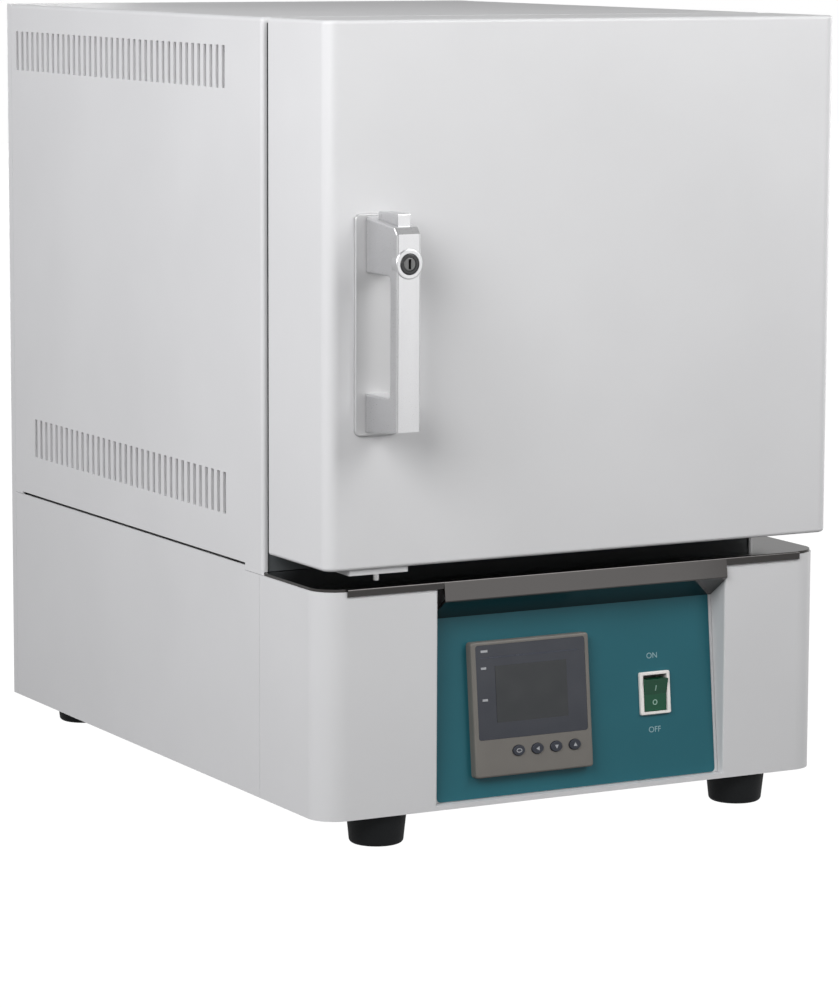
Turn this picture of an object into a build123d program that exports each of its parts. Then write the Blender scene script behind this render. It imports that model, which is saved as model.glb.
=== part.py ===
"""Bench muffle furnace: a heated chamber behind a thick side-hung door, on a control box.

Millimetres. X runs to the right, Y to the back and Z up. The origin is on the floor, in the middle
of the box that holds the whole furnace, from the handle to the cable gland and out to the hinges.
"""
import os
from math import cos, radians, sin, tan

from build123d import *

os.makedirs("parts", exist_ok=True)

# Overall sizes
cabinet_width = 410
cabinet_depth = 555
foot_height = 23
base_height = 160
deck_thickness = 2
door_gap = 14
door_height = 373
sheet = 1.5
fit = 0.3

# Door and seam
door_depth = 88
seam_gap = 10
door_corner = 9
door_edge = 2.5
base_setback = 8

# Hinges, on the right-hand side
hinge_offset = 8
knuckle_radius = 7
knuckle_height = 30
leaf_thickness = 3
leaf_reach = 38
pin_radius = 4
pin_clearance = 0.06
hinge_inset = 55

# Pull handle and its lock
handle_reach = 48
handle_width = 18.5
handle_height = 137
block_flare = 5
handle_from_edge = 37.5
handle_above_door = 99.5
bar_depth = 10
top_chamfer = 4
upper_block = 33
lower_block = 22
plate_thickness = 2.5
plate_width = 34
plate_overhang = 7
plate_corner = 4
lock_boss_radius = 10.2
lock_drop = 24
lock_ring_radius = 7.2
barrel_radius = 4.6
barrel_length = 26
button_width = 9.3
button_length = 28
button_height = 17
button_proud = 9.2
button_setback = 7
button_travel = 5

# Latch: a bar through the door with a hook behind the cabinet's front frame
latch_width = 4
latch_height = 6
latch_stem = 4
hook_height = 4
hook_depth = 4
keeper_thickness = 2
keeper_width = 14
keeper_height = 34

# Chamber and insulation
chamber_height = 120
hearth_thickness = 6
keeper_to_shell = 5.5
wall_thickness = 55
back_thickness = 65
shell_height = 280
rear_air_gap = 88
shield_gap = 11
shell_sheet = 1
rail_height = 50
plug_gap = 4
plug_reach = 35
plug_taper = 4
gasket_width = 12
gasket_margin = 10
groove_count = 4
groove_pitch = 29
groove_size = 12
coil_radius = 4.5
sensor_drop = 18
sensor_radius = 3.3
sensor_bore = 3.5

# Control box front
corner_radius = 20
fascia_depth = 95
recess_width = 236
recess_shift = 4
recess_sill = 3.5
return_depth = 26
panel_tilt = 5.8
panel_setback = 6
label_thickness = 0.4
label_height = 134
label_margin = 3
lip_height = 5.5
deck_inset = 1
lip_round = 1
lip_proud = 1.5
visor_height = 14
visor_lean = 2
visor_drop = 15.5
visor_side_gap = 4

# Controller and switch
controller_size = 96
controller_cutout = 92
controller_case = 90
controller_case_depth = 75
bezel_thickness = 7
controller_shift = -34.6
controls_height = 63.2
window_width = 89
window_height = 67
window_rise = 12
window_thickness = 1
key_width = 9.5
key_height = 7.5
key_pitch = 15.3
key_first = -13.1
key_drop = 30.8
key_proud = 1.2
key_clearance = 0.25
switch_shift = 70.2
switch_drop = 0.8
switch_width = 25.5
switch_height = 31
switch_bezel = 2.2
switch_body_width = 22
switch_body_height = 28
switch_body_depth = 24
rocker_width = 19.4
rocker_height = 23.6
rocker_angle = 11
rocker_rise = 3.4

# Vents in the side covers
vent_pitch = 10
vent_width = 4.5
vent_height = 30
vent_first = 61
upper_vent_count = 38
lower_vent_count = 35
upper_vent_drop = 36
lower_vent_rise = 35
cover_flange = 17
front_flange = 4
cover_bend = 3
slit_height = 2
slit_front = 28
slit_rear = 14

# Rear cover
rear_flange = 14
rear_corner = 8
gland_reach = 12
gland_radius = 11
gland_bore = 5
gland_shift = 130
gland_rise = 60

# Parts in the control box
sink_width = 100
sink_length = 80
sink_base = 8
sink_height = 40
sink_pitch = 9
sink_fin = 2.5
sink_from_right = 65
sink_from_rear = 240
relay_width = 45
relay_depth = 24
relay_height = 58
block_width = 80
block_depth = 25
block_base = 8
block_height = 20
block_pitch = 19
block_from_right = 45
block_from_rear = 45

# Feet
foot_top_radius = 21.5
foot_bottom_radius = 19
foot_inset_front_side = 56
foot_inset_rear_side = 51
foot_inset_front = 25
foot_inset_rear = 28
foot_recess_radius = 6
foot_recess_depth = 9

# Door contact under the door
striker_length = 46
striker_depth = 20
striker_height = 4
striker_from_edge = 19
striker_pin_radius = 2.2
striker_pin_length = 7
striker_pin_from_edge = 46
striker_pin_back = 15
sensor_size = 20

# Inner shell and chamber, worked out from the cabinet
shell_width = cabinet_width - 2 * (handle_from_edge + keeper_width / 2 + keeper_to_shell)
shell_depth = cabinet_depth - door_depth - seam_gap - 2 * sheet - rear_air_gap
chamber_width = shell_width - 2 * wall_thickness
chamber_depth = shell_depth - back_thickness

# Places worked out from the sizes
hinge_projection = hinge_offset + knuckle_radius
x_mid = -hinge_projection / 2
x_left = x_mid - cabinet_width / 2
x_right = x_mid + cabinet_width / 2
y_door = handle_reach - (handle_reach + cabinet_depth + gland_reach) / 2
y_door_back = y_door + door_depth
y_cabinet = y_door_back + seam_gap
y_frame = y_cabinet + sheet + fit
y_base = y_door + base_setback
y_fascia_back = y_base + fascia_depth
y_rear = y_door + cabinet_depth
y_strip = y_rear - rear_flange
z_base = foot_height
z_base_top = z_base + base_height
z_deck = z_base_top + deck_thickness
z_door = z_deck + door_gap
z_top = z_door + door_height
z_slit = z_deck + 1.5
x_axis_hinge = x_right + hinge_offset
y_axis_hinge = y_door_back + seam_gap / 2
z_chamber = z_door + (door_height - chamber_height) / 2
x_opening_left = x_mid + recess_shift - recess_width / 2
x_opening_right = x_mid + recess_shift + recess_width / 2
x_handle = x_left + handle_from_edge
z_handle = z_door + handle_above_door
z_handle_top = z_handle + handle_height
z_lock = z_handle_top - lock_drop
y_bar = y_door - handle_reach + 1

panel_plane = Plane(
    origin=(x_mid, y_base + panel_setback, z_base + recess_sill),
    x_dir=(1, 0, 0),
    z_dir=(0, -cos(radians(panel_tilt)), sin(radians(panel_tilt))),
)


def slab(x_span, y_span, z_span, mode=Mode.ADD):
    """A straight-sided solid between three pairs of limits."""
    middle = tuple((low + high) / 2 for low, high in (x_span, y_span, z_span))
    size = tuple(high - low for low, high in (x_span, y_span, z_span))
    with Locations(middle):
        Box(*size, mode=mode)


def post(x, y, radius, z_span, mode=Mode.ADD):
    """An upright round solid."""
    with Locations((x, y, (z_span[0] + z_span[1]) / 2)):
        Cylinder(radius, z_span[1] - z_span[0], mode=mode)


def rod_along_y(x, z, radius, y_span, mode=Mode.ADD):
    """A round solid that runs from front to back."""
    with Locations((x, (y_span[0] + y_span[1]) / 2, z)):
        Cylinder(radius, y_span[1] - y_span[0], rotation=(90, 0, 0), mode=mode)


def front_outline(inset, y_back):
    """The control box seen from above, drawn in by inset, with its two rounded front corners."""
    with Locations((x_mid, (y_base + inset + y_back) / 2)):
        Rectangle(cabinet_width - 2 * inset, y_back - y_base - inset)
    fillet(vertices().group_by(Axis.Y)[0], corner_radius - inset)


# Control box floor
with BuildPart() as base_floor:
    with BuildSketch(Plane.XY.offset(z_base)):
        front_outline(sheet + fit, y_strip - fit)
    extrude(amount=sheet)

# Control box front, wrapped round both corners, with the sunk control area
with BuildPart() as fascia:
    with BuildSketch(Plane.XY.offset(z_base)):
        front_outline(0, y_fascia_back)
    extrude(amount=base_height)
    with BuildSketch(Plane.XY.offset(z_base)):
        front_outline(sheet, y_fascia_back + sheet)
    extrude(amount=base_height, mode=Mode.SUBTRACT)
    slab(
        (x_opening_left, x_opening_right),
        (y_base - sheet, y_base + 2 * sheet),
        (z_base + recess_sill, z_base_top + sheet),
        Mode.SUBTRACT,
    )
    for x_return in (x_opening_left - sheet, x_opening_right):
        slab(
            (x_return, x_return + sheet),
            (y_base, y_base + return_depth),
            (z_base + recess_sill - sheet, z_base_top),
        )
    slab(
        (x_opening_left, x_opening_right),
        (y_base, y_base + panel_setback + 2 * sheet),
        (z_base + recess_sill - sheet, z_base + recess_sill),
    )
    opening_edges = fascia.edges().filter_by(Axis.Z).filter_by(
        lambda e: abs(e.center().Y - y_base) < 0.01
        and (abs(e.center().X - x_opening_left) < 0.01 or abs(e.center().X - x_opening_right) < 0.01)
    )
    fillet(opening_edges, sheet)

# Control box sides, between the front and the rear cover
base_sides = {}
for side, x_outer in (("left", x_left), ("right", x_right - sheet)):
    with BuildPart() as base_side:
        with BuildSketch(Plane(origin=(x_outer, 0, 0), x_dir=(0, 1, 0), z_dir=(1, 0, 0))):
            with BuildLine():
                Polyline(
                    (y_fascia_back + fit, z_base),
                    (y_strip - fit, z_base),
                    (y_strip - fit, z_slit),
                    (y_cabinet + slit_front, z_slit),
                    (y_cabinet + slit_front, z_base_top),
                    (y_fascia_back + fit, z_base_top),
                    close=True,
                )
            make_face()
        extrude(amount=sheet)
    base_sides[side] = base_side

# Polished deck with its front lip, which becomes a folded visor over the controls
visor_left = x_opening_left + visor_side_gap
visor_right = x_opening_right - fit
z_visor = z_deck - visor_height
panel_top_y = y_base + panel_setback + (base_height - visor_height - visor_drop) * tan(radians(panel_tilt))
lip_front = y_base - lip_proud
visor_profile = (
    (lip_front, z_deck),
    (lip_front - visor_lean, z_visor),
    (panel_top_y - fit - label_thickness, z_visor - visor_drop),
    (panel_top_y - fit - label_thickness, z_visor - visor_drop + 2),
    (y_base - visor_lean, z_visor + sheet),
    (y_base, z_deck - lip_height),
    (y_base, z_base_top),
    (y_base + corner_radius, z_base_top),
    (y_base + corner_radius, z_deck),
)
lip_profile = (
    (lip_front, z_deck),
    (lip_front, z_deck - lip_height),
    (y_base, z_deck - lip_height),
    (y_base, z_base_top),
    (y_base + corner_radius, z_base_top),
    (y_base + corner_radius, z_deck),
)
lip_runs = (
    (x_left + corner_radius, visor_left, lip_profile),
    (visor_left, visor_right, visor_profile),
    (visor_right, x_right - corner_radius, lip_profile),
)
with BuildPart() as deck:
    with BuildSketch(Plane.XY.offset(z_base_top)):
        front_outline(deck_inset, y_cabinet - fit)
    extrude(amount=deck_thickness)
    slab(
        (x_left + sheet + fit, x_right - sheet - fit),
        (y_cabinet - fit, y_strip - fit),
        (z_base_top, z_deck),
    )
    for x_start, x_end, profile in lip_runs:
        with BuildSketch(Plane(origin=(x_start, 0, 0), x_dir=(0, 1, 0), z_dir=(1, 0, 0))):
            with BuildLine():
                Polyline(*profile, close=True)
            make_face()
            fillet(vertices().filter_by(lambda v: v.X < lip_front + 0.01).sort_by(Axis.Y)[-1], lip_round)
            fillet(vertices().sort_by(Axis.X)[0], lip_round)
        extrude(amount=x_end - x_start)

# Tilted control panel behind the recess, and the plain printed film on it
switch_level = controls_height - switch_drop
panel_height = base_height - recess_sill - 2 * sheet
with BuildPart() as control_panel:
    with BuildSketch(panel_plane.offset(-sheet)):
        with Locations((recess_shift, fit + panel_height / 2)):
            Rectangle(recess_width - 2 * fit, panel_height)
        with Locations((controller_shift, controls_height)):
            Rectangle(controller_cutout, controller_cutout, mode=Mode.SUBTRACT)
        with Locations((switch_shift, switch_level)):
            Rectangle(switch_body_width + 0.5, switch_body_height + 0.5, mode=Mode.SUBTRACT)
    extrude(amount=sheet)

with BuildPart() as label_film:
    with BuildSketch(panel_plane):
        with Locations((recess_shift, 2 * fit + label_height / 2)):
            RectangleRounded(recess_width - 2 * label_margin, label_height, label_margin)
        with Locations((controller_shift, controls_height)):
            Rectangle(controller_cutout, controller_cutout, mode=Mode.SUBTRACT)
        with Locations((switch_shift, switch_level)):
            Rectangle(switch_body_width + 0.5, switch_body_height + 0.5, mode=Mode.SUBTRACT)
    extrude(amount=label_thickness)

# Temperature controller: case behind the panel, bezel, window and four keys
window_floor = bezel_thickness - window_thickness - 0.2
key_places = [(controller_shift + key_first + n * key_pitch, controls_height - key_drop) for n in range(4)]
with BuildPart() as controller_case_box:
    with BuildSketch(panel_plane.offset(label_thickness)):
        with Locations((controller_shift, controls_height)):
            RectangleRounded(controller_case, controller_case, 2)
    extrude(amount=-controller_case_depth)

with BuildPart() as controller_bezel:
    with BuildSketch(panel_plane.offset(label_thickness)):
        with Locations((controller_shift, controls_height)):
            RectangleRounded(controller_size, controller_size, 2.5)
    extrude(amount=bezel_thickness)
    bezel_front = controller_bezel.faces().sort_by(Axis((0, 0, 0), tuple(panel_plane.z_dir)))[-1]
    fillet(bezel_front.edges(), 1.6)
    with BuildSketch(panel_plane.offset(label_thickness + window_floor)):
        with Locations((controller_shift, controls_height + window_rise)):
            RectangleRounded(window_width, window_height, 2)
    extrude(amount=bezel_thickness, mode=Mode.SUBTRACT)
    with BuildSketch(panel_plane.offset(label_thickness)):
        with Locations(key_places):
            Ellipse(key_width / 2 + key_clearance, key_height / 2 + key_clearance)
    extrude(amount=2 * bezel_thickness, mode=Mode.SUBTRACT)

with BuildPart() as controller_window:
    with BuildSketch(panel_plane.offset(label_thickness + window_floor)):
        with Locations((controller_shift, controls_height + window_rise)):
            RectangleRounded(window_width - 0.2, window_height - 0.2, 2)
    extrude(amount=window_thickness)

controller_keys = []
for place in key_places:
    with BuildPart() as controller_key:
        with BuildSketch(panel_plane.offset(label_thickness + 1)):
            with Locations(place):
                Ellipse(key_width / 2, key_height / 2)
        extrude(amount=bezel_thickness - 1 + key_proud)
        key_front = controller_key.faces().sort_by(Axis((0, 0, 0), tuple(panel_plane.z_dir)))[-1]
        fillet(key_front.edges(), 0.6)
    controller_keys.append(controller_key)

# Power switch: framed body, and the rocker that tips in it
rocker_sink = 4
rocker_depth = 5
with BuildPart() as switch_body:
    with BuildSketch(panel_plane.offset(label_thickness)):
        with Locations((switch_shift, switch_level)):
            RectangleRounded(switch_width, switch_height, 1.5)
    extrude(amount=switch_bezel)
    switch_front = switch_body.faces().sort_by(Axis((0, 0, 0), tuple(panel_plane.z_dir)))[-1]
    fillet(switch_front.edges(), 0.8)
    with BuildSketch(panel_plane.offset(label_thickness)):
        with Locations((switch_shift, switch_level)):
            Rectangle(switch_body_width, switch_body_height)
    extrude(amount=-switch_body_depth)
    with BuildSketch(panel_plane.offset(-rocker_sink - rocker_depth - 3)):
        with Locations((switch_shift, switch_level)):
            Rectangle(rocker_width + 2 * fit, rocker_height + 10 * fit)
    extrude(amount=3 * switch_body_depth, mode=Mode.SUBTRACT)

switch_origin = panel_plane.from_local_coords((switch_shift, switch_level, -rocker_sink))
rocker_lean = radians(panel_tilt - rocker_angle)
rocker_plane = Plane(
    origin=switch_origin,
    x_dir=(0, sin(rocker_lean), cos(rocker_lean)),
    z_dir=(1, 0, 0),
)
with BuildPart() as switch_rocker:
    with BuildSketch(rocker_plane.offset(-rocker_width / 2)):
        with BuildLine():
            rim = Polyline(
                (-rocker_height / 2 + 1.5, -rocker_depth),
                (-rocker_height / 2, rocker_sink + rocker_rise),
                (0, rocker_sink + rocker_rise - 1.8),
                (rocker_height / 2, rocker_sink + rocker_rise),
                (rocker_height / 2 - 1.5, -rocker_depth),
                close=True,
            )
        make_face()
    extrude(amount=rocker_width)
    fillet(switch_rocker.faces().filter_by(Axis.X).edges(), 0.5)

# Side covers: bent round at the front and the top, slotted in two rows
side_covers = {}
for side, x_outer, inward in (("left", x_left, 1), ("right", x_right, -1)):
    with BuildPart() as side_cover:
        x_inner = x_outer + inward * cover_flange
        x_span = (min(x_outer, x_inner), max(x_outer, x_inner))
        slab(x_span, (y_cabinet, y_strip - fit), (z_base_top + fit, z_top))
        corner = side_cover.vertices().sort_by_distance((x_outer, y_cabinet, z_top))[0]
        fillet([e for e in side_cover.edges() if corner in e.vertices()], cover_bend)
        x_face = x_outer + inward * sheet
        x_past = x_inner + inward * sheet
        slab(
            (min(x_face, x_past), max(x_face, x_past)),
            (y_cabinet + sheet, y_strip),
            (z_base_top - sheet, z_top - sheet),
            Mode.SUBTRACT,
        )
        corner = side_cover.vertices().sort_by_distance((x_face, y_cabinet + sheet, z_top - sheet))[0]
        fillet([e for e in side_cover.edges() if corner in e.vertices()], cover_bend - sheet)
        slab(
            (min(x_face, x_past), max(x_face, x_past)),
            (y_cabinet - sheet, y_cabinet + 2 * sheet),
            (z_base_top, z_deck + fit),
            Mode.SUBTRACT,
        )
        x_return = x_outer + inward * front_flange
        slab(
            (min(x_return, x_past), max(x_return, x_past)),
            (y_cabinet - sheet, y_cabinet + 2 * sheet),
            (z_base_top, z_top - front_flange),
            Mode.SUBTRACT,
        )
        slab(x_span, (y_cabinet + slit_front, y_strip), (z_base_top, z_slit + fit), Mode.SUBTRACT)
        slab(x_span, (y_cabinet + slit_front, y_strip - slit_rear), (z_base_top, z_slit + slit_height), Mode.SUBTRACT)
        y_first = y_cabinet + vent_first
        vent_rows = ((upper_vent_count, z_top - upper_vent_drop), (lower_vent_count, z_door + lower_vent_rise))
        for count, z_row in vent_rows:
            y_middle = y_first + (count - 1) * vent_pitch / 2
            with BuildSketch(Plane(origin=(x_outer - 2 * inward, 0, 0), x_dir=(0, 1, 0), z_dir=(1, 0, 0))):
                with Locations((y_middle, z_row)):
                    with GridLocations(vent_pitch, vent_pitch, count, 1):
                        Rectangle(vent_width, vent_height)
            extrude(amount=inward * 2 * (sheet + 1), mode=Mode.SUBTRACT)
    side_covers[side] = side_cover

# Top cover, let in between the flanges of the side covers
with BuildPart() as top_cover:
    slab(
        (x_left + cover_flange + fit, x_right - cover_flange - fit),
        (y_cabinet, y_strip - fit),
        (z_top - sheet, z_top),
    )
    slab(
        (x_left + cover_flange + fit, x_right - cover_flange - fit),
        (y_cabinet, y_cabinet + sheet),
        (z_top - front_flange, z_top),
    )
    top_front = top_cover.edges().filter_by(Axis.X).filter_by(
        lambda e: abs(e.center().Y - y_cabinet) < 0.01 and abs(e.center().Z - z_top) < 0.01
    )
    fillet(top_front, sheet)

# Rear cover: a full-height pan that wraps the sides and the top
with BuildPart() as rear_cover:
    slab((x_left, x_right), (y_strip, y_rear), (z_base, z_top))
    rear_edges = rear_cover.edges().filter_by(Axis.Z).group_by(Axis.Y)[-1]
    fillet(rear_edges, rear_corner)
    offset(amount=-sheet, openings=rear_cover.faces().sort_by(Axis.Y)[0], kind=Kind.INTERSECTION)
    rear_rows = (z_top - upper_vent_drop - vent_height, z_door + lower_vent_rise, z_base + base_height / 2)
    for z_row in rear_rows:
        with BuildSketch(Plane(origin=(0, y_rear - 2 * sheet, 0), x_dir=(1, 0, 0), z_dir=(0, 1, 0))):
            with Locations((x_mid, -z_row)):
                with GridLocations(vent_pitch, vent_pitch, 21, 1):
                    Rectangle(vent_width, vent_height)
        extrude(amount=4 * sheet, mode=Mode.SUBTRACT)
    rod_along_y(x_mid + gland_shift, z_base + gland_rise, gland_radius - 3, (y_rear - 3, y_rear + 3), Mode.SUBTRACT)

# Cable gland in the rear cover, with nothing in it
with BuildPart() as cable_gland:
    rod_along_y(
        x_mid + gland_shift, z_base + gland_rise, gland_radius - 3 - fit / 2, (y_rear - 12, y_rear + gland_reach)
    )
    rod_along_y(x_mid + gland_shift, z_base + gland_rise, gland_radius, (y_rear - sheet - 5, y_rear - sheet))
    with BuildSketch(Plane(origin=(0, y_rear, 0), x_dir=(1, 0, 0), z_dir=(0, 1, 0))):
        with Locations((x_mid + gland_shift, -z_base - gland_rise)):
            RegularPolygon(gland_radius, 6)
    extrude(amount=5)
    fillet(cable_gland.faces().sort_by(Axis.Y)[-1].edges(), 1.5)
    rod_along_y(
        x_mid + gland_shift, z_base + gland_rise, gland_bore, (y_rear - 13, y_rear + gland_reach + 1), Mode.SUBTRACT
    )

# Where the latch bar and its hook lie, and the slots that let them move down with the button
latch_x = (x_handle - latch_width / 2, x_handle + latch_width / 2)
latch_z = (z_lock - latch_height / 2, z_lock + latch_height / 2)
latch_slot_x = (latch_x[0] - fit, latch_x[1] + fit)
latch_slot_z = (latch_z[0] - button_travel - fit, latch_z[1] + fit)
latch_mouth_x = (latch_x[0] - 3 * fit, latch_x[1] + 3 * fit)

# Front frame of the cabinet, with the chamber mouth and the latch slot
frame_inset = cover_bend + fit
with BuildPart() as front_frame:
    slab(
        (x_left + frame_inset, x_right - frame_inset),
        (y_frame, y_frame + sheet),
        (z_deck + fit, z_top - frame_inset),
    )
    slab(
        (x_mid - chamber_width / 2, x_mid + chamber_width / 2),
        (y_frame - 1, y_frame + sheet + 1),
        (z_chamber, z_chamber + chamber_height),
        Mode.SUBTRACT,
    )
    slab(latch_mouth_x, (y_frame - 1, y_frame + sheet + 1), latch_slot_z, Mode.SUBTRACT)

# Keeper plate behind the latch slot
y_keeper = y_frame + sheet + keeper_thickness
with BuildPart() as latch_keeper:
    slab(
        (x_handle - keeper_width / 2, x_handle + keeper_width / 2),
        (y_frame + sheet, y_keeper),
        (z_lock - keeper_height / 2, z_lock + keeper_height / 2),
    )
    fillet(latch_keeper.edges().filter_by(Axis.Y), 3)
    slab(latch_mouth_x, (y_frame, y_keeper + 1), latch_slot_z, Mode.SUBTRACT)

# Inner steel shell that holds the insulation, on two rails
z_shell = z_deck + rail_height
y_shell = y_frame + sheet
x_shell = shell_width / 2
with BuildPart() as inner_shell:
    slab((x_mid - x_shell, x_mid + x_shell), (y_shell, y_shell + shell_depth), (z_shell, z_shell + shell_height))
    offset(amount=-shell_sheet, openings=inner_shell.faces().sort_by(Axis.Y)[0], kind=Kind.INTERSECTION)
    y_shell_back = y_shell + shell_depth
    rod_along_y(x_mid, z_chamber + chamber_height - sensor_drop, sensor_bore, (y_shell_back - 3, y_shell_back + 3), Mode.SUBTRACT)

with BuildPart() as shell_rails:
    with BuildSketch(Plane.XY.offset(z_deck)):
        with Locations((x_mid - x_shell / 2, y_shell + shell_depth / 2), (x_mid + x_shell / 2, y_shell + shell_depth / 2)):
            Rectangle(40, shell_depth)
    extrude(amount=rail_height)
    with BuildSketch(Plane.XY.offset(z_deck)):
        with Locations((x_mid - x_shell / 2, y_shell + shell_depth / 2), (x_mid + x_shell / 2, y_shell + shell_depth / 2)):
            Rectangle(40 - 2 * sheet, shell_depth + 2)
    extrude(amount=rail_height - sheet, mode=Mode.SUBTRACT)

# Ceramic-fibre boards round the chamber
board_gap = 0.2
y_board = (y_shell, y_shell + shell_depth - shell_sheet - board_gap)
x_board = x_shell - shell_sheet - board_gap
z_floor = z_chamber - hearth_thickness
z_roof = z_chamber + chamber_height
y_chamber_back = y_shell + chamber_depth
with BuildPart() as floor_board:
    slab((x_mid - x_board, x_mid + x_board), y_board, (z_shell + shell_sheet + board_gap, z_floor))

with BuildPart() as roof_board:
    slab((x_mid - x_board, x_mid + x_board), y_board, (z_roof, z_shell + shell_height - shell_sheet - board_gap))

with BuildPart() as back_board:
    slab(
        (x_mid - chamber_width / 2 + board_gap, x_mid + chamber_width / 2 - board_gap),
        (y_chamber_back, y_board[1]),
        (z_floor, z_roof),
    )
    rod_along_y(x_mid, z_roof - sensor_drop, sensor_bore, (y_chamber_back - 1, y_board[1] + 1), Mode.SUBTRACT)

groove_heights = [
    z_chamber + chamber_height / 2 + (n - (groove_count - 1) / 2) * groove_pitch for n in range(groove_count)
]
coil_span = (y_shell + 20, y_chamber_back - 14)
wall_boards = {}
heating_coils = {}
for side, sign in (("left", -1), ("right", 1)):
    x_face = x_mid + sign * chamber_width / 2
    x_outer = x_mid + sign * x_board
    with BuildPart() as wall_board:
        slab((min(x_face, x_outer), max(x_face, x_outer)), y_board, (z_floor, z_roof))
        for z_groove in groove_heights:
            x_deep = x_face + sign * groove_size
            slab(
                (min(x_face, x_deep), max(x_face, x_deep)),
                (coil_span[0] - 4, coil_span[1] + 4),
                (z_groove - groove_size / 2, z_groove + groove_size / 2),
                Mode.SUBTRACT,
            )
    wall_boards[side] = wall_board
    with BuildPart() as heating_coil:
        for z_groove in groove_heights:
            rod_along_y(x_face + sign * (groove_size - coil_radius - fit), z_groove, coil_radius, coil_span)
            rod_along_y(x_face + sign * (groove_size - coil_radius - fit), z_groove, coil_radius - 1.6, coil_span, Mode.SUBTRACT)
    heating_coils[side] = heating_coil

with BuildPart() as hearth_plate:
    slab(
        (x_mid - chamber_width / 2 + 1, x_mid + chamber_width / 2 - 1),
        (y_shell + 2, y_chamber_back - 1),
        (z_floor, z_chamber),
    )
    fillet(hearth_plate.edges().filter_by(Axis.Z), 3)

# Thermocouple: sheath through the back board, and its connection head
with BuildPart() as thermocouple:
    rod_along_y(x_mid, z_roof - sensor_drop, sensor_radius, (y_chamber_back - 22, y_shell_back))
    fillet(thermocouple.faces().sort_by(Axis.Y)[0].edges(), 2.5)
    rod_along_y(x_mid, z_roof - sensor_drop, 12, (y_shell_back, y_shell_back + 14))

# Element terminals on the back of the inner shell
with BuildPart() as element_terminals:
    for x_terminal in (x_mid - 60, x_mid + 60):
        slab(
            (x_terminal - 22, x_terminal + 22),
            (y_shell + shell_depth, y_shell + shell_depth + 18),
            (z_chamber + 40, z_chamber + 66),
        )
        for x_screw in (x_terminal - 11, x_terminal + 11):
            rod_along_y(
                x_screw, z_chamber + 53, 4, (y_shell + shell_depth + 18, y_shell + shell_depth + 22)
            )

# Parts on the control box floor: power relay on its heat sink, and a terminal block
z_floor_top = z_base + sheet
relay_x = (x_right - sink_from_right - sink_width, x_right - sink_from_right)
relay_y = (y_strip - sink_from_rear - sink_length, y_strip - sink_from_rear)
block_x = (x_right - block_from_right - block_width, x_right - block_from_right)
block_y = (y_strip - block_from_rear - block_depth, y_strip - block_from_rear)
with BuildPart() as heat_sink:
    slab(relay_x, relay_y, (z_floor_top, z_floor_top + sink_base))
    with BuildSketch(Plane.XY.offset(z_floor_top + sink_base)):
        with Locations(((relay_x[0] + relay_x[1]) / 2, (relay_y[0] + relay_y[1]) / 2)):
            with GridLocations(sink_pitch, sink_pitch, int(sink_width / sink_pitch), 1):
                Rectangle(sink_fin, sink_length)
    extrude(amount=sink_height - sink_base)

with BuildPart() as power_relay:
    slab(
        ((relay_x[0] + relay_x[1] - relay_width) / 2, (relay_x[0] + relay_x[1] + relay_width) / 2),
        (relay_y[0] - relay_depth, relay_y[0]),
        (z_floor_top, z_floor_top + relay_height),
    )
    fillet(power_relay.edges().filter_by(Axis.Z), 3)

with BuildPart() as terminal_block:
    slab(block_x, block_y, (z_floor_top, z_floor_top + block_base))
    with BuildSketch(Plane.XY.offset(z_floor_top + block_base)):
        with Locations(((block_x[0] + block_x[1]) / 2, (block_y[0] + block_y[1]) / 2)):
            with GridLocations(block_pitch, block_pitch, 5, 1):
                Rectangle(3, block_depth)
    extrude(amount=block_height - block_base)

# Heat shields behind the slotted covers
with BuildPart() as heat_shields:
    for x_shield in (x_left + shield_gap, x_right - shield_gap - shell_sheet):
        slab(
            (x_shield, x_shield + shell_sheet),
            (y_frame + sheet, y_rear - sheet - fit),
            (z_deck, z_top - shield_gap),
        )

# Door contact: a sensor under the deck, below the pin on the door
x_striker = (x_left + striker_from_edge, x_left + striker_from_edge + striker_length)
y_striker = (y_door + 3, y_door + 3 + striker_depth)
x_pin = x_left + striker_pin_from_edge
y_pin = y_door + striker_pin_back
with BuildPart() as door_sensor:
    slab(
        (x_pin - sensor_size / 2, x_pin + sensor_size / 2),
        (y_base + sheet + 1, y_base + sheet + 1 + sensor_size),
        (z_base_top - 12, z_base_top),
    )
    fillet(door_sensor.edges().filter_by(Axis.Z), 2)

# Rubber feet, and the screws that hold them
foot_places = [
    (x, y)
    for inset, y in (
        (foot_inset_front_side, y_base + foot_inset_front),
        (foot_inset_rear_side, y_rear - foot_inset_rear),
    )
    for x in (x_left + inset, x_right - inset)
]
with BuildPart() as feet:
    with Locations([(x, y, foot_height / 2) for x, y in foot_places]):
        Cone(foot_bottom_radius, foot_top_radius, foot_height)
    fillet(feet.faces().group_by(Axis.Z)[0].edges(), 3)
    with BuildSketch(Plane.XY):
        with Locations(foot_places):
            Circle(foot_recess_radius)
    extrude(amount=foot_recess_depth, mode=Mode.SUBTRACT)
    with BuildSketch(Plane.XY):
        with Locations(foot_places):
            Circle(2.6)
    extrude(amount=foot_height, mode=Mode.SUBTRACT)

with BuildPart() as foot_screws:
    with BuildSketch(Plane.XY.offset(foot_recess_depth - 3)):
        with Locations(foot_places):
            Circle(4.5)
    extrude(amount=3)
    with BuildSketch(Plane.XY.offset(foot_recess_depth)):
        with Locations(foot_places):
            Circle(2.5)
    extrude(amount=foot_height - foot_recess_depth)

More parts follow.
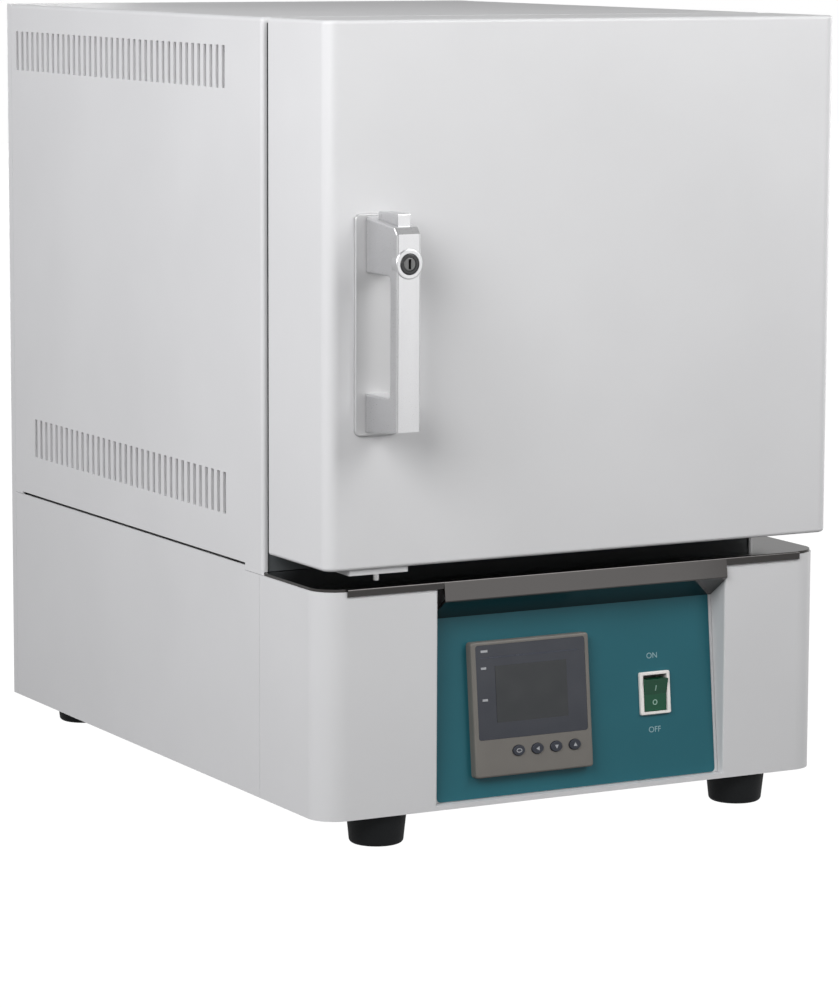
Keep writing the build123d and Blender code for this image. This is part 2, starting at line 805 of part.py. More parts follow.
# Screws in the rear cover
with BuildPart() as rear_screws:
    for x_screw in (x_left + 20, x_mid, x_right - 20):
        for z_screw in (z_base + 12, z_top - 12):
            rod_along_y(x_screw, z_screw, 3.5, (y_rear, y_rear + 2))
    fillet(rear_screws.faces().filter_by(Axis.Y).group_by(Axis.Y)[-1].edges(), 1.2)

# Lift-off hinges: the lower knuckle and its pin stay on the cabinet, the upper one lifts with the door
hinge_heights = (z_door + hinge_inset, z_top - hinge_inset - 2 * knuckle_height)
knuckle_gap = 0.4
with BuildPart() as cabinet_leaves:
    for z_hinge in hinge_heights:
        post(x_axis_hinge, y_axis_hinge, knuckle_radius, (z_hinge, z_hinge + knuckle_height))
        slab(
            (x_right, x_right + leaf_thickness),
            (y_axis_hinge, y_axis_hinge + leaf_reach),
            (z_hinge, z_hinge + knuckle_height),
        )
        post(x_axis_hinge, y_axis_hinge, pin_radius, (z_hinge - 1, z_hinge + knuckle_height + 1), Mode.SUBTRACT)

with BuildPart() as hinge_pins:
    for z_hinge in hinge_heights:
        post(x_axis_hinge, y_axis_hinge, pin_radius, (z_hinge, z_hinge + 2 * knuckle_height - 6))
    fillet(hinge_pins.faces().filter_by(Axis.Z).edges(), 1)

with BuildPart() as door_leaves:
    for z_hinge in hinge_heights:
        z_span = (z_hinge + knuckle_height + knuckle_gap, z_hinge + 2 * knuckle_height + knuckle_gap)
        post(x_axis_hinge, y_axis_hinge, knuckle_radius, z_span)
        slab((x_right, x_right + leaf_thickness), (y_axis_hinge - leaf_reach, y_axis_hinge), z_span)
        post(
            x_axis_hinge, y_axis_hinge, pin_radius + pin_clearance, (z_span[0] - 1, z_span[1] - 4), Mode.SUBTRACT
        )

# Door shell: a deep painted pan with rounded front corners
with BuildPart() as door_shell:
    slab((x_left, x_right), (y_door, y_door_back), (z_door, z_top))
    fillet(door_shell.edges().filter_by(Axis.Z).group_by(Axis.Y)[0], door_corner)
    rims = door_shell.faces().filter_by(Axis.Z).edges().filter_by(lambda e: e.center().Y < y_door_back - 1)
    fillet(rims, door_edge)
    offset(amount=-sheet, openings=door_shell.faces().sort_by(Axis.Y)[-1], kind=Kind.INTERSECTION)
    slab(latch_slot_x, (y_door - 1, y_door + 3), latch_slot_z, Mode.SUBTRACT)
    for z_screw in (z_handle + lower_block / 2, z_handle_top - 11):
        rod_along_y(x_handle, z_screw, 2.6, (y_door - 1, y_door + 3), Mode.SUBTRACT)

# Door lining: back plate, fibre filling, the plug that closes the chamber, and its rope seal
plug_half_width = chamber_width / 2 - plug_gap
plug_half_height = chamber_height / 2 - plug_gap
z_mouth = z_chamber + chamber_height / 2
with BuildPart() as door_back_plate:
    slab(
        (x_left + sheet + fit, x_right - sheet - fit),
        (y_door_back - sheet, y_door_back),
        (z_door + sheet + fit, z_top - sheet - fit),
    )
    slab(
        (x_mid - plug_half_width - fit, x_mid + plug_half_width + fit),
        (y_door_back - 2 * sheet, y_door_back + sheet),
        (z_mouth - plug_half_height - fit, z_mouth + plug_half_height + fit),
        Mode.SUBTRACT,
    )
    slab(latch_slot_x, (y_door_back - 2 * sheet, y_door_back + 1), latch_slot_z, Mode.SUBTRACT)

with BuildPart() as door_filling:
    slab(
        (x_left + sheet + 1, x_right - sheet - 1),
        (y_door + sheet + 7, y_door_back - sheet - 0.1),
        (z_door + sheet + 1, z_top - sheet - 1),
    )
    slab(latch_slot_x, (y_door, y_door_back), latch_slot_z, Mode.SUBTRACT)

with BuildPart() as door_plug:
    with BuildSketch(Plane(origin=(0, y_door_back - sheet, 0), x_dir=(1, 0, 0), z_dir=(0, 1, 0))):
        with Locations((x_mid, -z_mouth)):
            Rectangle(2 * plug_half_width, 2 * plug_half_height)
    with BuildSketch(Plane(origin=(0, y_frame + plug_reach, 0), x_dir=(1, 0, 0), z_dir=(0, 1, 0))):
        with Locations((x_mid, -z_mouth)):
            Rectangle(2 * (plug_half_width - plug_taper), 2 * (plug_half_height - plug_taper))
    loft()

with BuildPart() as door_seal:
    with BuildSketch(Plane(origin=(0, y_door_back, 0), x_dir=(1, 0, 0), z_dir=(0, 1, 0))):
        with Locations((x_mid, -z_mouth)):
            outer = chamber_width / 2 + gasket_margin + gasket_width
            RectangleRounded(2 * outer, 2 * (outer - (chamber_width - chamber_height) / 2), 20)
            RectangleRounded(
                2 * (outer - gasket_width),
                2 * (outer - gasket_width - (chamber_width - chamber_height) / 2),
                20 - gasket_width,
                mode=Mode.SUBTRACT,
            )
    extrude(amount=y_frame - y_door_back - fit)
    fillet(door_seal.faces().sort_by(Axis.Y)[-1].edges(), 3)

# Striker under the door's left end, with the pin above the sensor
with BuildPart() as striker_bar:
    slab(x_striker, y_striker, (z_door - striker_height, z_door))
    fillet(striker_bar.edges().filter_by(Axis.Z), 1.5)

with BuildPart() as striker_pin:
    post(x_pin, y_pin, striker_pin_radius, (z_door - striker_height - striker_pin_length, z_door - striker_height))
    fillet(striker_pin.faces().sort_by(Axis.Z)[0].edges(), 1)

# Handle: foot plate, cast grip, screws
y_plate = y_door - plate_thickness
y_bar_back = y_bar + bar_depth
y_stem = y_bar + button_setback + button_length - latch_stem - 2 * fit
with BuildPart() as handle_plate:
    with BuildSketch(Plane(origin=(0, y_plate, 0), x_dir=(1, 0, 0), z_dir=(0, 1, 0))):
        with Locations((x_handle, -(z_handle + z_handle_top) / 2)):
            RectangleRounded(plate_width, handle_height + 2 * plate_overhang, plate_corner)
    extrude(amount=plate_thickness)
    fillet(handle_plate.faces().sort_by(Axis.Y)[0].edges(), 1)
    slab(latch_slot_x, (y_plate - 1, y_door + 1), latch_slot_z, Mode.SUBTRACT)
    for z_screw in (z_handle + lower_block / 2, z_handle_top - 11):
        rod_along_y(x_handle, z_screw, 2.6, (y_plate - 1, y_door + 1), Mode.SUBTRACT)

with BuildPart() as handle_grip:
    with BuildSketch(Plane(origin=(x_handle - handle_width / 2, 0, 0), x_dir=(0, 1, 0), z_dir=(1, 0, 0))):
        with BuildLine():
            Polyline(
                (y_bar, z_handle),
                (y_plate, z_handle - block_flare),
                (y_plate, z_handle + lower_block),
                (y_bar_back, z_handle + lower_block),
                (y_bar_back, z_handle_top - upper_block),
                (y_plate, z_handle_top - upper_block),
                (y_plate, z_handle_top + block_flare),
                (y_bar, z_handle_top),
                close=True,
            )
        make_face()
        fillet(vertices().filter_by(lambda v: v.X > y_bar_back - 0.1 and v.X < y_bar_back + 0.1), 4)
        chamfer(vertices().sort_by(Axis.X)[:2].sort_by(Axis.Y)[-1], top_chamfer)
    extrude(amount=handle_width)
    fillet(handle_grip.faces().filter_by(Axis.X).edges(), 1.5)
    rod_along_y(x_handle, z_lock, lock_boss_radius, (y_bar - 1, y_bar + 6))
    fillet(handle_grip.faces().sort_by(Axis.Y)[0].edges(), 0.8)
    rod_along_y(x_handle, z_lock, lock_ring_radius + 0.1, (y_bar - 2, y_bar + 5), Mode.SUBTRACT)
    rod_along_y(x_handle, z_lock, barrel_radius + 0.1, (y_bar, y_bar + barrel_length + 2), Mode.SUBTRACT)
    slab(latch_slot_x, (y_stem - fit, y_plate + 1), latch_slot_z, Mode.SUBTRACT)
    slab(
        latch_slot_x,
        (y_stem - fit, y_stem + latch_stem + fit),
        (latch_slot_z[0], z_handle_top + block_flare),
        Mode.SUBTRACT,
    )
    slab(
        (x_handle - button_width / 2 - fit, x_handle + button_width / 2 + fit),
        (y_bar + button_setback - fit, y_bar + button_setback + button_length + fit),
        (z_handle_top + button_proud - button_height - button_travel - 1, z_handle_top + 2 * block_flare),
        Mode.SUBTRACT,
    )
    for z_screw in (z_handle + lower_block / 2, z_handle_top - 11):
        rod_along_y(x_handle, z_screw, 2.1, (y_plate - 9, y_plate + 1), Mode.SUBTRACT)

with BuildPart() as handle_screws:
    for z_screw in (z_handle + lower_block / 2, z_handle_top - 11):
        rod_along_y(x_handle, z_screw, 2, (y_plate - 8, y_door + sheet))
        rod_along_y(x_handle, z_screw, 4, (y_door + sheet, y_door + sheet + 3))

# Thumb button on the handle's upper end
with BuildPart() as thumb_button:
    slab(
        (x_handle - button_width / 2, x_handle + button_width / 2),
        (y_bar + button_setback, y_bar + button_setback + button_length),
        (z_handle_top + button_proud - button_height, z_handle_top + button_proud),
    )
    fillet(thumb_button.faces().sort_by(Axis.Z)[-1].edges(), 1)

# Lock in the handle: a fixed ring, and the barrel that the key turns
with BuildPart() as lock_ring:
    rod_along_y(x_handle, z_lock, lock_ring_radius, (y_bar - 1.4, y_bar + 4.8))
    fillet(lock_ring.faces().sort_by(Axis.Y)[0].edges(), 1)
    rod_along_y(x_handle, z_lock, barrel_radius + 0.1, (y_bar - 2, y_bar + 6), Mode.SUBTRACT)

with BuildPart() as lock_barrel:
    rod_along_y(x_handle, z_lock, barrel_radius, (y_bar - 1.2, y_bar + barrel_length))
    fillet(lock_barrel.faces().sort_by(Axis.Y)[0].edges(), 0.6)
    slab(
        (x_handle - 1, x_handle + 1),
        (y_bar - 2, y_bar + 6),
        (z_lock - 3.4, z_lock + 3.4),
        Mode.SUBTRACT,
    )

# Latch: a stem under the button, the bar through the door, and the hook behind the keeper
with BuildPart() as latch:
    slab(latch_x, (y_stem, y_stem + latch_stem), (latch_z[0], z_handle_top + button_proud - button_height))
    slab(latch_x, (y_stem, y_keeper + fit + hook_depth), latch_z)
    slab(latch_x, (y_keeper + fit, y_keeper + fit + hook_depth), (latch_z[0], latch_z[1] + hook_height))
    hook_tip = latch.edges().filter_by(Axis.X).sort_by_distance(
        (x_handle, y_keeper + fit + hook_depth, latch_z[1] + hook_height)
    )[0]
    chamfer(hook_tip, hook_depth / 2)

# Every finished piece, by name
pieces = {
    "base_floor": base_floor,
    "fascia": fascia,
    "base_side_left": base_sides["left"],
    "base_side_right": base_sides["right"],
    "deck": deck,
    "control_panel": control_panel,
    "label_film": label_film,
    "controller_case": controller_case_box,
    "controller_bezel": controller_bezel,
    "controller_window": controller_window,
    "switch_body": switch_body,
    "switch_rocker": switch_rocker,
    "side_cover_left": side_covers["left"],
    "side_cover_right": side_covers["right"],
    "top_cover": top_cover,
    "rear_cover": rear_cover,
    "cable_gland": cable_gland,
    "front_frame": front_frame,
    "latch_keeper": latch_keeper,
    "inner_shell": inner_shell,
    "shell_rails": shell_rails,
    "floor_board": floor_board,
    "roof_board": roof_board,
    "back_board": back_board,
    "left_board": wall_boards["left"],
    "right_board": wall_boards["right"],
    "heating_coils_left": heating_coils["left"],
    "heating_coils_right": heating_coils["right"],
    "hearth_plate": hearth_plate,
    "thermocouple": thermocouple,
    "element_terminals": element_terminals,
    "heat_shields": heat_shields,
    "heat_sink": heat_sink,
    "power_relay": power_relay,
    "terminal_block": terminal_block,
    "door_sensor": door_sensor,
    "feet": feet,
    "foot_screws": foot_screws,
    "rear_screws": rear_screws,
    "cabinet_leaves": cabinet_leaves,
    "hinge_pins": hinge_pins,
    "door_leaves": door_leaves,
    "door_shell": door_shell,
    "door_back_plate": door_back_plate,
    "door_filling": door_filling,
    "door_plug": door_plug,
    "door_seal": door_seal,
    "striker_bar": striker_bar,
    "striker_pin": striker_pin,
    "handle_plate": handle_plate,
    "handle_grip": handle_grip,
    "handle_screws": handle_screws,
    "thumb_button": thumb_button,
    "lock_ring": lock_ring,
    "lock_barrel": lock_barrel,
    "latch": latch,
}
for number, controller_key in enumerate(controller_keys, 1):
    pieces[f"controller_key_{number}"] = controller_key
for name, piece in pieces.items():
    piece.part.label = name
    export_step(piece.part, f"parts/{name}.step")
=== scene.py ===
# %% [markdown]
# A bench muffle furnace: a white steel box with a thick insulated door, standing on a control box.
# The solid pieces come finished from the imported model. Here they get their surfaces, and the fine
# things that solids don't carry: coil wire, rope strands, screw recesses, the display, and the marks
# on keys, film and rocker.

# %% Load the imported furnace
import math

import bpy
import bmesh
from mathutils import Matrix, Vector


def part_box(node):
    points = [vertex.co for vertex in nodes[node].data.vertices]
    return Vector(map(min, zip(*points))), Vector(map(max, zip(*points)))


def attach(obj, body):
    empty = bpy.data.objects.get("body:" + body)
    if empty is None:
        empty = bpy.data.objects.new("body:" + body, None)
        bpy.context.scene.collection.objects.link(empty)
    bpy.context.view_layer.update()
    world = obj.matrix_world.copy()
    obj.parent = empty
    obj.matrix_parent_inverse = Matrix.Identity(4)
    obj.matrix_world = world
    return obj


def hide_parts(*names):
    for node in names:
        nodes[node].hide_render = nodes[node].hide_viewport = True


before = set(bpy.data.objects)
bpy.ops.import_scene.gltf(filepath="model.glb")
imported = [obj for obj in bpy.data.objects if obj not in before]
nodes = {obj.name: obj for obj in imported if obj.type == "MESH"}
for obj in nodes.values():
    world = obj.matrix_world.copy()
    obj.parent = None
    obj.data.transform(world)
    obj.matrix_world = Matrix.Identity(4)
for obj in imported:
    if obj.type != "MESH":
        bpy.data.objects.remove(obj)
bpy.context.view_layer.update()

# %% [markdown]
# The camera stands where the photographer stood: to the left of the furnace, a little above it, and
# looking down by eight degrees. A long lens keeps the upright edges nearly parallel. The lens and the
# place were fitted to the corners of the box, so the camera needs no shift.

# %% Camera at the photographer's place
photo_size = (839, 1008)
camera_place = Vector((-1.4482, -2.6623, 0.6389))
camera_yaw = math.radians(28.55)
camera_pitch = math.radians(8.26)
camera_roll = math.radians(-0.22)
focal_pixels = 4028.6

ahead = Vector((
    math.sin(camera_yaw) * math.cos(camera_pitch),
    math.cos(camera_yaw) * math.cos(camera_pitch),
    -math.sin(camera_pitch),
))
level_right = Vector((math.cos(camera_yaw), -math.sin(camera_yaw), 0))
level_down = ahead.cross(level_right)
right = math.cos(camera_roll) * level_right + math.sin(camera_roll) * level_down
down = -math.sin(camera_roll) * level_right + math.cos(camera_roll) * level_down

camera_data = bpy.data.cameras.new("photo_camera")
camera_data.sensor_width = 36
camera_data.sensor_fit = "AUTO"
camera_data.lens = focal_pixels / max(photo_size) * camera_data.sensor_width
camera_data.clip_start = 0.1
camera_data.clip_end = 50
camera = bpy.data.objects.new("photo_camera", camera_data)
bpy.context.scene.collection.objects.link(camera)
turn = Matrix((right, -down, -ahead)).transposed()
camera.matrix_world = Matrix.Translation(camera_place) @ turn.to_4x4()
bpy.context.scene.camera = camera
print("lens", round(camera_data.lens, 2), "mm")


def in_photo(point):
    """The pixel of the photograph where a point of the furnace falls."""
    away = Vector(point) - camera_place
    depth = away.dot(ahead)
    x = photo_size[0] / 2 + focal_pixels * away.dot(right) / depth
    y = photo_size[1] / 2 + focal_pixels * away.dot(down) / depth
    return round(x, 1), round(y, 1)


door_low, door_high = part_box("door_shell")
print("door's upper left corner", in_photo((door_low.x, door_low.y, door_high.z)))
print("door's lower right corner", in_photo((door_high.x, door_low.y, door_low.z)))

# %% [markdown]
# Every finish is a small node tree that reads the object's own coordinates, so a pattern stays on
# its piece when the door swings or another camera looks. One helper makes the shader, and one adds
# noise: paint, rubber, fibre and steel differ only in scale, depth and colour.

# %% Helpers for finishes
def finish_shader(name, colour, roughness, metallic=0.0, **sockets):
    """A named finish with one shader; further sockets are set by their names."""
    material = bpy.data.materials.new(name)
    material.use_nodes = True
    shader = material.node_tree.nodes["Principled BSDF"]
    shader.inputs["Base Color"].default_value = (*colour, 1)
    shader.inputs["Roughness"].default_value = roughness
    shader.inputs["Metallic"].default_value = metallic
    for socket, value in sockets.items():
        shader.inputs[socket.replace("_", " ")].default_value = value
    return material, material.node_tree, shader


def object_coordinates(tree, stretch=(1, 1, 1)):
    """Object coordinates, stretched along the axes where a finish has a grain."""
    place = tree.nodes.new("ShaderNodeTexCoord")
    mapping = tree.nodes.new("ShaderNodeMapping")
    mapping.inputs["Scale"].default_value = stretch
    tree.links.new(place.outputs["Object"], mapping.inputs["Vector"])
    return mapping.outputs["Vector"]


def noise(tree, vector, scale, detail=2.0, roughness=0.5):
    """A noise field in one value."""
    field = tree.nodes.new("ShaderNodeTexNoise")
    field.inputs["Scale"].default_value = scale
    field.inputs["Detail"].default_value = detail
    field.inputs["Roughness"].default_value = roughness
    tree.links.new(vector, field.inputs["Vector"])
    return field.outputs["Fac"]


def ranged(tree, value, low, high, start=0.3, end=0.7):
    """A value turned into a number between low and high."""
    span = tree.nodes.new("ShaderNodeMapRange")
    span.inputs["From Min"].default_value = start
    span.inputs["From Max"].default_value = end
    span.inputs["To Min"].default_value = low
    span.inputs["To Max"].default_value = high
    tree.links.new(value, span.inputs["Value"])
    return span.outputs["Result"]


def two_colours(tree, value, first, second, start=0.3, end=0.7):
    """A ramp between two colours."""
    ramp = tree.nodes.new("ShaderNodeValToRGB")
    ramp.color_ramp.elements[0].position = start
    ramp.color_ramp.elements[0].color = (*first, 1)
    ramp.color_ramp.elements[1].position = end
    ramp.color_ramp.elements[1].color = (*second, 1)
    tree.links.new(value, ramp.inputs["Fac"])
    return ramp.outputs["Color"]


def bump(tree, value, shader, depth, strength=0.3):
    """Fine relief, in metres."""
    relief = tree.nodes.new("ShaderNodeBump")
    relief.inputs["Distance"].default_value = depth
    relief.inputs["Strength"].default_value = strength
    tree.links.new(value, relief.inputs["Height"])
    tree.links.new(relief.outputs["Normal"], shader.inputs["Normal"])


def surfaced(name, light, dark, roughness, scale, depth, metallic=0.0, stretch=(1, 1, 1), strength=0.3,
             spread=0.06, **sockets):
    """A finish with a grain: two close colours, uneven roughness and fine relief."""
    material, tree, shader = finish_shader(name, light, roughness, metallic, **sockets)
    vector = object_coordinates(tree, stretch)
    fine = noise(tree, vector, scale, 3)
    broad = noise(tree, vector, scale / 40, 2)
    tree.links.new(two_colours(tree, broad, dark, light), shader.inputs["Base Color"])
    tree.links.new(ranged(tree, fine, roughness - spread, roughness + spread), shader.inputs["Roughness"])
    bump(tree, fine, shader, depth, strength)
    return material


def smooth(name, light, dark, roughness, spread=0.03, **sockets):
    """A moulded or printed finish that is nearly even."""
    return surfaced(name, light, dark, roughness, 60, 0.00001, strength=0.02, spread=spread, **sockets)


def dress(finishes):
    """Gives each named node its finish."""
    for material, names in finishes.items():
        for name in names:
            nodes[name].data.materials.clear()
            nodes[name].data.materials.append(material)


print("finish helpers ready")

# %% [markdown]
# The covers are sheet steel with a light powder coat. It flows out smooth, with a faint orange peel
# and a soft sheen. The same paint is on the door, the covers and the control box.

# %% Powder coat
powder_coat = surfaced(
    "powder_coat", (0.69, 0.69, 0.70), (0.665, 0.665, 0.675), 0.42, 420, 0.00004, spread=0.04, strength=0.12
)
striker_coat = surfaced("striker_coat", (0.62, 0.62, 0.63), (0.57, 0.57, 0.58), 0.4, 500, 0.00004,
                        spread=0.05)
dress({
    powder_coat: ("side_cover_left", "side_cover_right", "top_cover", "rear_cover", "door_shell", "fascia",
                  "base_side_left", "base_side_right", "control_panel", "heat_shields"),
    striker_coat: ("striker_bar",),
})
print("painted", powder_coat.name)

# %% [markdown]
# Metal finishes differ by their grain. Brushed sheet has long fine lines, so its noise is stretched
# along one axis. The deck is polished like a mirror and shows only faint smears; its near-black colour
# is a painted dark reflection. The front frame's near-black grey is painted shade in the seam round the
# door.

# %% Metals
# The deck's near-black base colour is a painted dark reflection; the polished steel itself is much lighter.
deck_mirror, deck_tree, deck_shader = finish_shader("deck_mirror", (0.088, 0.084, 0.082), 0.10, 1.0)
deck_place = object_coordinates(deck_tree)
deck_smear = noise(deck_tree, deck_place, 14, 4)
deck_tree.links.new(ranged(deck_tree, deck_smear, 0.08, 0.14), deck_shader.inputs["Roughness"])
zinc_sheet = surfaced("zinc_sheet", (0.51, 0.52, 0.53), (0.46, 0.47, 0.48), 0.38, 160, 0.00003, 1.0,
                      spread=0.08)
turned_steel = surfaced("turned_steel", (0.62, 0.62, 0.62), (0.52, 0.52, 0.52), 0.25, 700, 0.00002, 1.0,
                        stretch=(1, 1, 6))
satin_cast = surfaced("satin_cast", (0.66, 0.66, 0.67), (0.64, 0.64, 0.65), 0.29, 900, 0.00002, 0.93,
                      stretch=(6, 1, 1), strength=0.06, spread=0.02)
plate_satin = surfaced("plate_satin", (0.56, 0.56, 0.565), (0.54, 0.54, 0.545), 0.42, 900, 0.00002, 0.6,
                       strength=0.06, spread=0.02)
barrel_steel = surfaced("barrel_steel", (0.20, 0.20, 0.20), (0.15, 0.15, 0.15), 0.35, 900, 0.00003, 0.8)
# The front frame's near-black grey is painted shade: it darkens the seam between door and covers, where
# shade falls.
frame_grey = surfaced("frame_grey", (0.105, 0.115, 0.12), (0.095, 0.105, 0.11), 0.5, 420, 0.00005)
sink_aluminium = surfaced("sink_aluminium", (0.6, 0.6, 0.6), (0.52, 0.52, 0.52), 0.35, 600, 0.00003, 1.0,
                          stretch=(8, 1, 1))
wire_oxide = surfaced("wire_oxide", (0.16, 0.12, 0.10), (0.09, 0.07, 0.06), 0.6, 900, 0.00005, 0.6)
metals = {
    deck_mirror: ("deck",),
    zinc_sheet: ("base_floor", "inner_shell", "shell_rails", "latch_keeper", "door_back_plate",
                 "cabinet_leaves", "door_leaves"),
    turned_steel: ("hinge_pins", "handle_screws", "foot_screws", "rear_screws", "latch", "striker_pin",
                   "thermocouple"),
    barrel_steel: ("lock_barrel",),
    frame_grey: ("front_frame",),
    satin_cast: ("handle_grip", "thumb_button"),
    plate_satin: ("handle_plate",),
    sink_aluminium: ("heat_sink",),
    wire_oxide: ("heating_coils_left", "heating_coils_right"),
}
dress(metals)
print("metals", len(metals))

# %% [markdown]
# Fibre board is pressed from short ceramic threads: off-white, dull, with fluffy pits. The hearth is
# a hard fired plate, a little browner, with small specks.

# %% Fibre and fired ceramic
fibre_board = surfaced("fibre_board", (0.84, 0.82, 0.78), (0.72, 0.69, 0.63), 0.95, 260, 0.0006,
                       strength=0.7, spread=0.03)
rope_fibre = surfaced("rope_fibre", (0.82, 0.80, 0.75), (0.66, 0.63, 0.57), 0.95, 420, 0.0008,
                      stretch=(1, 3, 1), strength=0.8, spread=0.03)
fired_plate = surfaced("fired_plate", (0.50, 0.44, 0.36), (0.36, 0.31, 0.25), 0.8, 500, 0.0003, strength=0.6)
glazed_block = surfaced("glazed_block", (0.80, 0.77, 0.70), (0.72, 0.69, 0.62), 0.25, 60, 0.00005,
                        spread=0.05)
ceramics = {
    fibre_board: ("floor_board", "roof_board", "back_board", "left_board", "right_board", "door_filling",
                  "door_plug"),
    rope_fibre: ("door_seal",),
    fired_plate: ("hearth_plate",),
    glazed_block: ("element_terminals",),
}
dress(ceramics)
print("ceramics", len(ceramics))

# %% [markdown]
# The plastics are what the hand meets: the printed film, the controller's moulded front with its dark
# window, the ivory switch with its green rocker, the keys, the lock's ring and the rubber feet.

# %% Plastics and rubber
film = surfaced("film", (0.016, 0.118, 0.150), (0.015, 0.112, 0.142), 0.34, 900, 0.00001, strength=0.02,
                spread=0.01, Specular_IOR_Level=0.25)
bezel_plastic = surfaced("bezel_plastic", (0.165, 0.155, 0.140), (0.150, 0.140, 0.127), 0.5, 1200, 0.00003,
                         spread=0.03)
case_plastic = surfaced("case_plastic", (0.03, 0.03, 0.03), (0.02, 0.02, 0.02), 0.5, 800, 0.00004)
window_plastic = smooth("window_plastic", (0.014, 0.018, 0.030), (0.012, 0.015, 0.026), 0.15)
key_rubber = surfaced("key_rubber", (0.018, 0.022, 0.035), (0.014, 0.017, 0.028), 0.4, 900, 0.00003)
ivory_plastic = surfaced("ivory_plastic", (0.86, 0.83, 0.80), (0.83, 0.80, 0.77), 0.3, 600, 0.00002)
rocker_green = smooth("rocker_green", (0.001, 0.075, 0.032), (0.001, 0.060, 0.025), 0.12)
gloss_black = surfaced("gloss_black", (0.022, 0.022, 0.024), (0.016, 0.016, 0.018), 0.25, 500, 0.00003)
foot_rubber = surfaced("foot_rubber", (0.009, 0.010, 0.011), (0.006, 0.007, 0.008), 0.6, 700, 0.0001,
                       strength=0.5, Specular_IOR_Level=0.2)
plastics = {
    film: ("label_film",),
    bezel_plastic: ("controller_bezel",),
    case_plastic: ("controller_case",),
    window_plastic: ("controller_window",),
    key_rubber: tuple(f"controller_key_{n}" for n in range(1, 5)),
    ivory_plastic: ("switch_body",),
    rocker_green: ("switch_rocker",),
    gloss_black: ("lock_ring", "cable_gland", "terminal_block", "power_relay", "door_sensor"),
    foot_rubber: ("feet",),
}
dress(plastics)
print("plastics", len(plastics))

# %% [markdown]
# The control panel leans back by a few degrees. Marks on it are placed in the panel's own directions:
# across, up along the slope, and out of it. One helper turns such a place into a point of the furnace.

# %% The panel's own directions
millimetre = 0.001
panel_lean = math.radians(5.8)
panel_foot = Vector((-0.0075, -0.2455, 0.0265))
panel_up = Vector((0, math.sin(panel_lean), math.cos(panel_lean)))
panel_out = Vector((0, -math.cos(panel_lean), math.sin(panel_lean)))
panel_turn = Matrix((Vector((1, 0, 0)), panel_up, panel_out)).transposed().to_4x4()


def on_panel(across, up, out):
    """A point given in millimetres across, up and out of the panel."""
    return panel_foot + (Vector((across, 0, 0)) + panel_up * up + panel_out * out) * millimetre


def piece_from(mesh, name, body, material):
    """Links a finished mesh as a piece that rides on a body."""
    piece = bpy.data.objects.new(name, mesh)
    bpy.context.scene.collection.objects.link(piece)
    mesh.materials.clear()
    mesh.materials.append(material)
    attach(piece, body)
    return piece


def flat_mark(name, outlines, place, turn, thick=0.1):
    """A thin raised mark from outlines, in millimetres; outlines that share corners grow together."""
    shape = bmesh.new()
    for outline in outlines:
        shape.faces.new([shape.verts.new((x * millimetre, y * millimetre, 0)) for x, y in outline])
    bmesh.ops.remove_doubles(shape, verts=shape.verts, dist=0.000001)
    raised = bmesh.ops.extrude_face_region(shape, geom=shape.faces[:])
    lifted = [v for v in raised["geom"] if isinstance(v, bmesh.types.BMVert)]
    bmesh.ops.translate(shape, verts=lifted, vec=(0, 0, thick * millimetre))
    bmesh.ops.recalc_face_normals(shape, faces=shape.faces)
    mesh = bpy.data.meshes.new(name)
    shape.to_mesh(mesh)
    shape.free()
    mesh.transform(Matrix.Translation(place) @ turn)
    return mesh


print("panel leans", round(math.degrees(panel_lean), 1), "degrees")

# %% [markdown]
# The controller's window is dark smoked plastic. On it lie the darker rectangle of the display, which
# is off, a thin line above it, and three short plain bars at its left.

# %% Display, line and bars
mark_white = smooth("mark_white", (0.42, 0.43, 0.45), (0.36, 0.37, 0.39), 0.5, spread=0.06)
display_dark = smooth("display_dark", (0.010, 0.013, 0.016), (0.008, 0.011, 0.014), 0.18)
line_blue = smooth("line_blue", (0.030, 0.037, 0.058), (0.026, 0.032, 0.050), 0.3, spread=0.06)
window_out = 7.25
bar_height = 1.6
window_bars = ((-72.0, 104.3, 5.4), (-73.0, 92.3, 4.2), (-72.7, 69.9, 4.2))


def bar(width, height):
    """A plain rectangle round its middle."""
    x, y = width / 2, height / 2
    return [[(-x, -y), (x, -y), (x, y), (-x, y)]]


display = flat_mark("display_glass", bar(58, 40), on_panel(-34.8, 73.4, window_out), panel_turn, 0.15)
piece_from(display, "display_glass", "cabinet", display_dark)
for number, (across, up, wide) in enumerate(window_bars, 1):
    name = f"window_bar_{number}"
    mark = flat_mark(name, bar(wide, bar_height), on_panel(across, up, window_out), panel_turn)
    piece_from(mark, name, "cabinet", mark_white)
upper_line = flat_mark("window_line", bar(80, 0.8), on_panel(-36, 99.6, window_out), panel_turn)
piece_from(upper_line, "window_line", "cabinet", line_blue)
print("display", [round(v * 1000, 1) for v in display.vertices[0].co])

# %% [markdown]
# Each oval key has a generic mark: an outline on the first, and arrows that point left, down and up
# on the others. The marks ride on their keys, so they go in when a key is pressed.

# %% Marks on the keys
first_key = -47.7
key_pitch = 15.3
key_row = 32.4
key_out = 8.62
arrow = [[(-1.5, -1.1), (1.5, -1.1), (0, 1.6)]]


def oval_ring(wide, high, line, count=24):
    """The outlines of an oval ring, one piece after another."""
    turns = [2 * math.pi * n / count for n in range(count + 1)]
    rim = [(wide * math.cos(a), high * math.sin(a)) for a in turns]
    core = [((wide - line) * math.cos(a), (high - line) * math.sin(a)) for a in turns]
    return [[core[n], rim[n], rim[n + 1], core[n + 1]] for n in range(count)]


